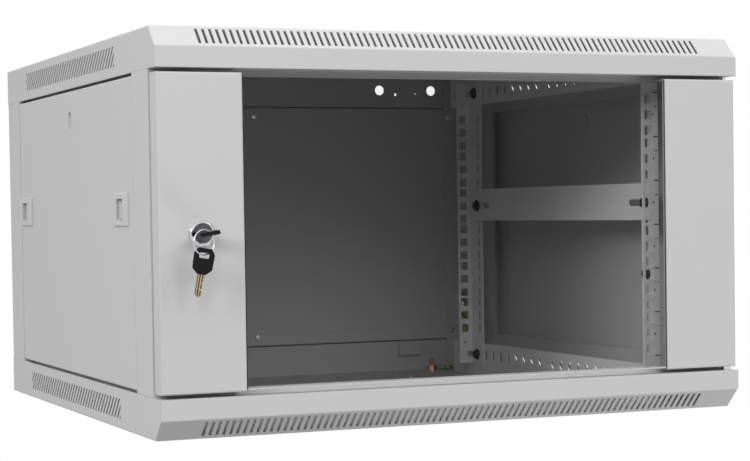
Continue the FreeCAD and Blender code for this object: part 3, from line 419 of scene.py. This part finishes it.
def nodeSolids(name):
    # The separate solids of a CAD node, each as its lowest and highest corner.
    shape = bmesh.new()
    shape.from_mesh(cad[name].data)
    bmesh.ops.remove_doubles(shape, verts=shape.verts, dist=tiny["weld"])
    left = set(shape.verts)
    boxes = []
    while left:
        queue = [left.pop()]
        found = []
        while queue:
            vert = queue.pop()
            found.append(vert.co.copy())
            for edge in vert.link_edges:
                other = edge.other_vert(vert)
                if other in left:
                    left.discard(other)
                    queue.append(other)
        low = Vector([min(co[i] for co in found) for i in range(3)])
        high = Vector([max(co[i] for co in found) for i in range(3)])
        boxes.append((low, high))
    shape.free()
    # Sorted by place, so that each run numbers them alike.
    return sorted(boxes, key=lambda box: [round(value, tiny["decimals"]) for value in box[0]])


# Rail screws: black pan heads on flanges, with a cross recess

# The dome is a list of shares of the head's radius and height.
railScrew = {"flangeRadius": 7.0 * mm, "flange": 1.2 * mm, "headRadius": 5.2 * mm, "head": 3.2 * mm,
             "shank": 2.95 * mm, "length": 8.0 * mm, "spin": 0.7,
             "rim": [(1.0, 0.75), (0.96, 1.0)], "neck": 1.05,
             "dome": [(1.0, 0.55), (0.9, 0.84), (0.68, 0.97), (0.4, 1.0)],
             "cross": {"length": 5.6 * mm, "width": 1.3 * mm, "depth": 1.9 * mm}}


def makeRailScrews():
    size = railScrew
    flange, head = size["flange"], size["head"]
    top = flange + head
    profile = [(0, -size["length"]), (size["shank"], -size["length"]), (size["shank"], 0),
               (size["flangeRadius"], 0)]
    profile += [(size["flangeRadius"] * across, flange * rise) for across, rise in size["rim"]]
    profile.append((size["headRadius"], flange * size["neck"]))
    profile += [(size["headRadius"] * across, flange + head * rise) for across, rise in size["dome"]]
    profile.append((0, top))
    mesh = recessedHead(profile, top, size["cross"])
    matrices = []
    for number, (low, high) in enumerate(nodeSolids("rail_screws")):
        middle = (low + high) / 2
        inward = -1 if middle.x > 0 else 1
        tip = low.x if inward < 0 else high.x
        seat = Vector((tip - inward * top, middle.y, middle.z))
        matrices.append(Matrix.Translation(seat) @ turnTo((inward, 0, 0), size["spin"] * number))
    piece = newPiece("railScrewHeads", scattered(mesh, matrices, "railScrewHeads"), "black_screws",
                     "cabinet")
    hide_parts("rail_screws")
    return len(matrices)


# Small pan-head screws of the back panel and the cable entry plates

smallScrew = {"headRadius": 4.0 * mm, "head": 2.2 * mm, "shank": 1.95 * mm, "length": 1.2 * mm, "spin": 0.9,
              "dome": [(1.0, 0.42), (0.88, 0.78), (0.62, 0.96), (0.3, 1.0)],
              "cross": {"length": 4.2 * mm, "width": 1.0 * mm, "depth": 1.3 * mm}}
cabinetMiddle = 185.0 * mm


def makeSmallScrews(node, axisIndex, wayOf):
    # wayOf gives the side of its seat that a screw's head stands on, from the screw's middle.
    size = smallScrew
    top = size["head"]
    matrices = []
    for number, (low, high) in enumerate(nodeSolids(node)):
        middle = (low + high) / 2
        way = wayOf(middle)
        axis = Vector((0, 0, 0))
        axis[axisIndex] = way
        seat = middle.copy()
        tip = high[axisIndex] if way > 0 else low[axisIndex]
        seat[axisIndex] = tip - way * top
        matrices.append(Matrix.Translation(seat) @ turnTo(axis, size["spin"] * number))
    profile = [(0, -size["length"]), (size["shank"], -size["length"]), (size["shank"], 0),
               (size["headRadius"], 0)]
    profile += [(size["headRadius"] * across, top * rise) for across, rise in size["dome"]]
    profile.append((0, top))
    mesh = recessedHead(profile, top, size["cross"])
    piece = newPiece(node + "Heads", scattered(mesh, matrices, node + "Heads"), "zinc", "cabinet")
    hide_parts(node)
    return len(matrices)


railCount = makeRailScrews()
backCount = makeSmallScrews("back_panel_screws", 1, lambda middle: -1)
entryCount = makeSmallScrews("entry_screws", 2, lambda middle: -1 if middle.z > cabinetMiddle else 1)
print("screws done,", railCount, backCount, entryCount)


# Threaded earth studs

studThread = {"radius": 2.98 * mm, "pitch": 1.0 * mm, "depth": 0.35 * mm, "segments": 28, "rows": 8}


def makeStuds():
    size = studThread
    shape = bmesh.new()
    for low, high in nodeSolids("earth_studs"):
        span, base = high - low, (low + high) / 2
        if span.z > span.y:  # on the floor
            length, way = span.z, (0, 0, 1)
            base.z = low.z
        else:  # on the rear post
            length, way = span.y, (0, -1, 0)
            base.y = high.y
        matrix = Matrix.Translation(base) @ turnTo(way)
        rows = int(length / size["pitch"] * size["rows"])
        rings = []
        for row in range(rows + 1):
            height = length * row / rows
            ring = []
            for i in range(size["segments"]):
                share = (height / size["pitch"] - i / size["segments"]) % 1.0
                radius = size["radius"] - size["depth"] * (1 - abs(2 * share - 1))
                if row in (0, rows):
                    radius = size["radius"] - size["depth"]
                angle = 2 * math.pi * i / size["segments"]
                point = matrix @ Vector((radius * math.cos(angle), radius * math.sin(angle), height))
                ring.append(shape.verts.new(point))
            rings.append(ring)
        for below, above in zip(rings, rings[1:]):
            for i in range(size["segments"]):
                j = (i + 1) % size["segments"]
                shape.faces.new((below[i], below[j], above[j], above[i]))
        shape.faces.new(rings[-1])
        shape.faces.new(rings[0][::-1])
    piece = newPiece("earthStudThreads", meshFrom(shape, "earthStudThreads"), "copper", "cabinet")
    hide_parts("earth_studs")


makeStuds()


# Earth lead: green and yellow sheath, along the route of the CAD lead. Its points are in millimetres.

lead = {"radius": 2.5 * mm, "length": 0.1024, "bevelSteps": 6, "curveSteps": 16,
        "points": [(239.4, 275.0, 4.3), (258.7, 275.0, 4.3), (274.7, 278.4, 14.5), (282.0, 284.1, 31.4),
                   (276.0, 293.3, 59.1), (276.0, 293.3, 75.6)],
        "bandPitch": 11.0 * mm, "bandSlope": 1.3, "bandEdge": 0.12,
        "green": (0.02, 0.2, 0.05), "yellow": (0.62, 0.56, 0.05),
        "grain": {"Drift": 0.2, "Drift Scale": 200.0, "Grain Scale": 2600.0, "Roughness": 0.45,
                  "Roughness Spread": 0.1, "Bump": 0.1, "Edge": 0.0001}}


def makeSheath():
    material, tree, output = newMaterial("leadSheath")
    place = putNode(tree, "ShaderNodeTexCoord").outputs["Object"]
    parts = putNode(tree, "ShaderNodeSeparateXYZ", {0: place}).outputs
    along = mathNode(tree, "ADD", mathNode(tree, "MULTIPLY", parts[0], lead["bandSlope"]), parts[2])
    wave = mathNode(tree, "SINE", mathNode(tree, "MULTIPLY", along, 2 * math.pi / lead["bandPitch"]))
    edge = lead["bandEdge"]
    band = putNode(tree, "ShaderNodeMapRange", {0: wave, 1: -edge, 2: edge}).outputs[0]
    color = mixColor(tree, band, (*lead["green"], 1), (*lead["yellow"], 1))
    shadeWith(tree, output, color, lead["grain"])
    return material


finishes["lead_sheath"] = makeSheath()


def makeLead():
    curve = bpy.data.curves.new("earthLeadSheath", "CURVE")
    curve.dimensions = "3D"
    curve.bevel_depth = lead["radius"]
    curve.bevel_resolution = lead["bevelSteps"]
    curve.resolution_u = lead["curveSteps"]
    curve.use_fill_caps = True
    spline = curve.splines.new("NURBS")
    spline.points.add(len(lead["points"]) - 1)
    for point, place in zip(spline.points, lead["points"]):
        point.co = (*[value * mm for value in place], 1)
    spline.order_u = 3
    spline.use_endpoint_u = True
    piece = bpy.data.objects.new("earthLeadSheath", curve)
    bpy.context.scene.collection.objects.link(piece)
    curve.materials.append(finishes["lead_sheath"])
    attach(piece, "cabinet")
    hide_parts("earth_lead")


makeLead()
print("earth point done")


# Rail marks: a bar at each unit line, a pointer at each middle hole, and the unit numbers

marks = {"unit": 44.45 * mm, "count": 6, "start": 51.65 * mm, "middle": 22.225 * mm, "number": 30.2 * mm,
         "holeEdge": 237.25 * mm, "outer": 243.3 * mm, "barStart": 238.0 * mm, "barHeight": 1.1 * mm,
         "pointer": 1.7 * mm, "pointerHalf": 1.9 * mm, "textSize": 5.6 * mm, "textCentre": 240.6 * mm,
         "lift": 0.03 * mm}


def flatPolygon(shape, points, matrix):
    shape.faces.new([shape.verts.new(matrix @ Vector((x, y, 0))) for x, y in points])


def addNumber(shape, text, matrix):
    font = bpy.data.curves.new("number", "FONT")
    font.body = text
    font.size = marks["textSize"]
    font.align_x = "CENTER"
    font.align_y = "CENTER"
    holder = bpy.data.objects.new("number", font)
    bpy.context.scene.collection.objects.link(holder)
    bpy.context.view_layer.update()
    mesh = bpy.data.meshes.new_from_object(holder.evaluated_get(bpy.context.evaluated_depsgraph_get()))
    mesh.transform(matrix)
    shape.from_mesh(mesh)
    bpy.data.meshes.remove(mesh)
    bpy.data.objects.remove(holder)


def makeMarks(node, side, facing):
    # Drawn on the rail's outward face: the front one on front rails, the rear one on rear rails.
    low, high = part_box(node)
    plane = low.y - marks["lift"] if facing < 0 else high.y + marks["lift"]
    shape = bmesh.new()
    flip = side if facing < 0 else -side

    def flat(x, z, along, up):
        normal = Vector(along).cross(Vector(up))
        matrix = Matrix((along, up, normal)).transposed().to_4x4()
        return Matrix.Translation((side * x, plane, z)) @ matrix

    halfLong, halfHigh = (marks["outer"] - marks["barStart"]) / 2, marks["barHeight"] / 2
    bar = [(-halfLong, -halfHigh), (halfLong, -halfHigh), (halfLong, halfHigh), (-halfLong, halfHigh)]
    for i in range(marks["count"] + 1):
        z = marks["start"] + i * marks["unit"]
        matrix = flat((marks["outer"] + marks["barStart"]) / 2, z, (-facing, 0, 0), (0, 0, 1))
        flatPolygon(shape, bar, matrix)
    for i in range(marks["count"]):
        z = marks["start"] + i * marks["unit"]
        matrix = flat(marks["holeEdge"], z + marks["middle"], (-facing, 0, 0), (0, 0, 1))
        tip = flip * marks["pointer"]
        base = [(0, -marks["pointerHalf"]), (tip, 0), (0, marks["pointerHalf"])]
        flatPolygon(shape, base if flip > 0 else base[::-1], matrix)
        matrix = flat(marks["textCentre"], z + marks["number"], (0, 0, -1), (-facing, 0, 0))
        addNumber(shape, str(i + 1), matrix)
    newPiece(node + "Marks", meshFrom(shape, node + "Marks"), "ink", "cabinet")


for node, side, facing in (("front_rail_left", -1, -1), ("front_rail_right", 1, -1),
                           ("rear_rail_left", -1, 1), ("rear_rail_right", 1, 1)):
    makeMarks(node, side, facing)
print("rail marks done")


# Sheet forms that the covers and panels have in the photo beyond the CAD

sheetForms = {"height": 370.0 * mm, "rear": 300.0 * mm, "sheet": 1.2 * mm, "inset": 0.05 * mm,
              "bevel": 0.25 * mm, "bevelSteps": 2}


def extrude(shape, outline, way, start, end):
    # Runs a closed outline along an axis. The outline is given in the two other axes, in order.
    rings = []
    for level in (start, end):
        ring = []
        for point in outline:
            place = list(point)
            place.insert("xyz".index(way), level)
            ring.append(shape.verts.new(place))
        rings.append(ring)
    faces = [shape.faces.new(rings[0]), shape.faces.new(rings[1][::-1])]
    count = len(outline)
    for i in range(count):
        j = (i + 1) % count
        faces.append(shape.faces.new((rings[0][i], rings[0][j], rings[1][j], rings[1][i])))
    bmesh.ops.recalc_face_normals(shape, faces=faces)


def plate(shape, x0, x1, y0, y1, z0, z1):
    extrude(shape, [(y0, z0), (y1, z0), (y1, z1), (y0, z1)], "x", x0, x1)


def bothEnds(z):
    # The same height at the top cover and, turned over, at the bottom cover.
    return z, sheetForms["height"] - z


def levels(low, high, end):
    # Two heights of the top cover, or the matching ones of the bottom cover, the lower first.
    return sorted((bothEnds(low)[end], bothEnds(high)[end]))


def softened(name, shape, finish):
    # A sheet form of the cabinet, with its edges slightly rounded.
    piece = newPiece(name, meshFrom(shape, name), finish, "cabinet")
    modifier = piece.modifiers.new("softEdges", "BEVEL")
    modifier.width = sheetForms["bevel"]
    modifier.segments = sheetForms["bevelSteps"]


closing = {"face": 286.2 * mm, "thick": 1.0 * mm, "foot": 326.5 * mm, "top": 337.0 * mm,
           "reach": 298.7 * mm, "endGap": 0.3 * mm}


def makeClosingStrips():
    # Folded strips behind the gaps above and below the side panels.
    low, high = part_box("side_panel_left")
    shape = bmesh.new()
    face, thick, reach = closing["face"], closing["thick"], closing["reach"]
    foot, top = closing["foot"], closing["top"]
    outline = [(face, foot), (face + thick, foot), (face + thick, top - thick), (reach, top - thick),
               (reach, top), (face, top)]
    for side in (-1, 1):
        for end in (0, 1):
            placed = [(side * x, bothEnds(z)[end]) for x, z in outline]
            extrude(shape, placed, "y", low.y + closing["endGap"], high.y - closing["endGap"])
    softened("closingStrips", shape, "paint")


wallHook = {"centre": 202.25 * mm, "half": 15.0 * mm, "cheek": 1.0 * mm, "low": 334.0 * mm,
            "high": 349.0 * mm, "lean": 5.0 * mm, "open": 2.2 * mm, "corner": 2.6 * mm}
wallHole = {"inner": 167.0 * mm, "outer": 237.5 * mm, "rise": 16.4 * mm, "radius": 5.97 * mm,
            "segments": 32}
pressed = {"low": 331.9 * mm, "high": 342.5 * mm, "half": 7.0 * mm, "shift": 2.5 * mm, "thick": 0.9 * mm}


def makeWallHooks():
    # The pressed hooks have closed cheeks. Those of the bottom cover are closed all round.
    shape = bmesh.new()
    rearFace = sheetForms["rear"] - sheetForms["inset"]
    frontFace = sheetForms["rear"] - sheetForms["sheet"]
    low, high, cheek = wallHook["low"], wallHook["high"], wallHook["cheek"]
    for side in (-1, 1):
        centre = side * wallHook["centre"]
        for end, opening, corner, lean in ((0, wallHook["open"], wallHook["corner"], 0),
                                           (1, 0, 0, wallHook["lean"])):
            stop = high - opening
            leaning = wallHook["lean"] * (stop - low) / (high - low)
            outline = [(frontFace, low), (rearFace, low), (rearFace, stop), (frontFace - leaning, stop)]
            placed = [(y, bothEnds(z)[end]) for y, z in outline]
            for edge in (-1, 1):
                outer = centre + edge * wallHook["half"]
                extrude(shape, placed, "x", outer - edge * cheek, outer)
            reach = wallHook["half"] - corner
            plate(shape, centre - reach, centre + reach, frontFace - lean, rearFace,
                  *levels(high, high + cheek, end))
        for x in (wallHole["inner"], wallHole["outer"]):
            middle = side * (x + pressed["shift"])
            plate(shape, middle - pressed["half"], middle + pressed["half"], frontFace - pressed["thick"],
                  frontFace, pressed["low"], pressed["high"])
    softened("wallFlangeForms", shape, "paint")


def makeHolePlugs():
    # Blanking plugs close the wall holes of the bottom cover. They come out before bolts go in.
    shape = bmesh.new()
    rear, inset = sheetForms["rear"], sheetForms["inset"]
    for centre in (-wallHole["outer"], -wallHole["inner"], wallHole["inner"], wallHole["outer"]):
        ring = [(centre + x, wallHole["rise"] + z)
                for x, z in ringPoints(wallHole["radius"], wallHole["segments"])]
        extrude(shape, ring, "y", rear - sheetForms["sheet"] + inset, rear - inset)
    softened("lowerHolePlugs", shape, "paint")


backBands = {
    "backPanelRims": {"half": 279.5 * mm, "face": 297.6 * mm, "thick": 0.45 * mm, "low": 316.3 * mm,
                      "high": 330.4 * mm, "finish": "paint"},
    # A dark strip that paints the shadow line along the gap under the covers' flanges (painted shade).
    "backPanelGapShade": {"half": 279.5 * mm, "face": 298.75 * mm, "thick": 0.7 * mm, "low": 330.7 * mm,
                       "high": 331.9 * mm, "finish": "rubber"},
}


def makeBackBands():
    # The back panel's rims stand in a little, and a dark strip along the covers' flanges paints the shadow
    # line of the gap there (painted shade).
    for name, size in backBands.items():
        shape = bmesh.new()
        for end in (0, 1):
            plate(shape, -size["half"], size["half"], size["face"] - size["thick"], size["face"],
                  *levels(size["low"], size["high"], end))
        softened(name, shape, size["finish"])


makeClosingStrips()
makeWallHooks()
makeHolePlugs()
makeBackBands()
print("sheet forms done")


# Black seals between the door's strips and the glass, and a pale strip along the glass's foot that paints
# the bright line where its bottom edge catches light (painted highlight)

doorTrim = {"sheet": 1.25 * mm, "sealDepth": 3.0 * mm, "sealProud": 0.9 * mm, "rim": 1.2 * mm,
            "proud": 0.12 * mm, "endGap": 0.5 * mm}


def makeDoorTrim():
    glassLow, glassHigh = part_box("door_glass")
    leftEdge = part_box("door_lock_strip")[1].x
    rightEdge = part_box("door_hinge_strip")[0].x
    front = glassLow.y - doorTrim["proud"]
    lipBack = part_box("door_lock_strip")[0].y + doorTrim["sheet"]
    foot, top = glassLow.z + doorTrim["endGap"], glassHigh.z - doorTrim["endGap"]
    seals, rim = bmesh.new(), bmesh.new()
    for edge, way in ((leftEdge, 1), (rightEdge, -1)):
        x0, x1 = sorted((edge - way * doorTrim["sealDepth"], edge + way * doorTrim["sealProud"]))
        plate(seals, x0, x1, lipBack, front, foot, top)
    # Painted highlight: a pale strip where the glass's bottom edge catches light.
    plate(rim, leftEdge + doorTrim["sealProud"], rightEdge - doorTrim["sealProud"], front,
          glassHigh.y + doorTrim["proud"], glassLow.z - doorTrim["proud"], glassLow.z + doorTrim["rim"])
    for name, shape, finish in (("doorSeals", seals, "ink"), ("glassFootEdge", rim, "ground_edge")):
        newPiece(name, meshFrom(shape, name), finish, "door")


makeDoorTrim()
print("door trim done")


# Camera, matched to the photo

# The focal length and the centre are in pixels of the image.
camera = {"place": (-0.786525, -1.956524, 0.202225), "yaw": -0.406545, "pitch": -0.032930,
          "roll": -0.014617, "focal": 1949.34, "centre": (394.97, 275.28), "image": (750, 461),
          "sensor": 36.0, "near": 0.05, "far": 30}


def makeCamera():
    yaw, pitch, roll = camera["yaw"], camera["pitch"], camera["roll"]
    ahead = Vector((-math.sin(yaw) * math.cos(pitch), math.cos(yaw) * math.cos(pitch), math.sin(pitch)))
    level = Vector((math.cos(yaw), math.sin(yaw), 0))
    rise = level.cross(ahead)
    right = level * math.cos(roll) + rise * math.sin(roll)
    up = rise * math.cos(roll) - level * math.sin(roll)
    lens = bpy.data.cameras.new("camera")
    width, height = camera["image"]
    lens.sensor_width = camera["sensor"]
    lens.sensor_fit = "HORIZONTAL"
    lens.lens = camera["focal"] / width * camera["sensor"]
    lens.shift_x = (width / 2 - camera["centre"][0]) / width
    lens.shift_y = (camera["centre"][1] - height / 2) / width
    lens.clip_start = camera["near"]
    lens.clip_end = camera["far"]
    view = bpy.data.objects.new("camera", lens)
    bpy.context.scene.collection.objects.link(view)
    turn = Matrix((right, up, -ahead)).transposed().to_4x4()
    view.matrix_world = Matrix.Translation(camera["place"]) @ turn
    bpy.context.scene.camera = view


# Light: a surround that shows as white and lights mostly from overhead, and five large lamps

surround = {"level": 0.02, "up": 1.55, "below": 0.36}
lamps = {
    "keyLamp": {"place": (1.5, -2.0, 1.75), "size": 0.9, "power": 12.5},
    "patchLamp": {"place": (0.5, -2.5, 1.15), "size": 0.7, "power": 9.0},
    "leftLamp": {"place": (-1.2, -2.15, 1.2), "size": 0.7, "power": 8.0},
    "sideLamp": {"place": (-2.29, -1.42, 1.1), "size": 0.7, "power": 24.0},
    "lowLamp": {"place": (0.75, -0.75, -1.0), "size": 0.4, "power": 5.0},
}
lampAim = (0, -0.2, 0.17)


def makeSurround():
    world = bpy.data.worlds.new("surround")
    bpy.context.scene.world = world
    world.use_nodes = True
    tree = world.node_tree
    tree.nodes.clear()
    way = putNode(tree, "ShaderNodeTexCoord").outputs["Generated"]
    parts = putNode(tree, "ShaderNodeSeparateXYZ", {0: way}).outputs
    level = surround["level"]
    for name, sign in (("up", 1), ("below", -1)):
        facing = mathNode(tree, "MAXIMUM", mathNode(tree, "MULTIPLY", parts[2], sign), 0.0)
        level = mathNode(tree, "ADD", mathNode(tree, "MULTIPLY", facing, surround[name]), level)
    rays = tree.nodes.new("ShaderNodeLightPath").outputs
    seen = mathNode(tree, "MAXIMUM", rays["Is Camera Ray"], rays["Is Glossy Ray"])
    seen = mathNode(tree, "MAXIMUM", seen, rays["Is Transmission Ray"])
    strength = putNode(tree, "ShaderNodeMix", {0: seen, 2: level, 3: 1.0}).outputs[0]
    background = putNode(tree, "ShaderNodeBackground", {"Color": (1, 1, 1, 1), "Strength": strength})
    output = tree.nodes.new("ShaderNodeOutputWorld")
    tree.links.new(background.outputs[0], output.inputs["Surface"])


def makeLamps():
    for name, lamp in lamps.items():
        light = bpy.data.lights.new(name, "AREA")
        light.shape = "SQUARE"
        light.size = lamp["size"]
        light.energy = lamp["power"]
        holder = bpy.data.objects.new(name, light)
        bpy.context.scene.collection.objects.link(holder)
        place = Vector(lamp["place"])
        holder.matrix_world = Matrix.Translation(place) @ turnTo(place - Vector(lampAim))


makeCamera()
makeSurround()
makeLamps()
bpy.context.scene.view_settings.view_transform = "Standard"
print("camera and light done")
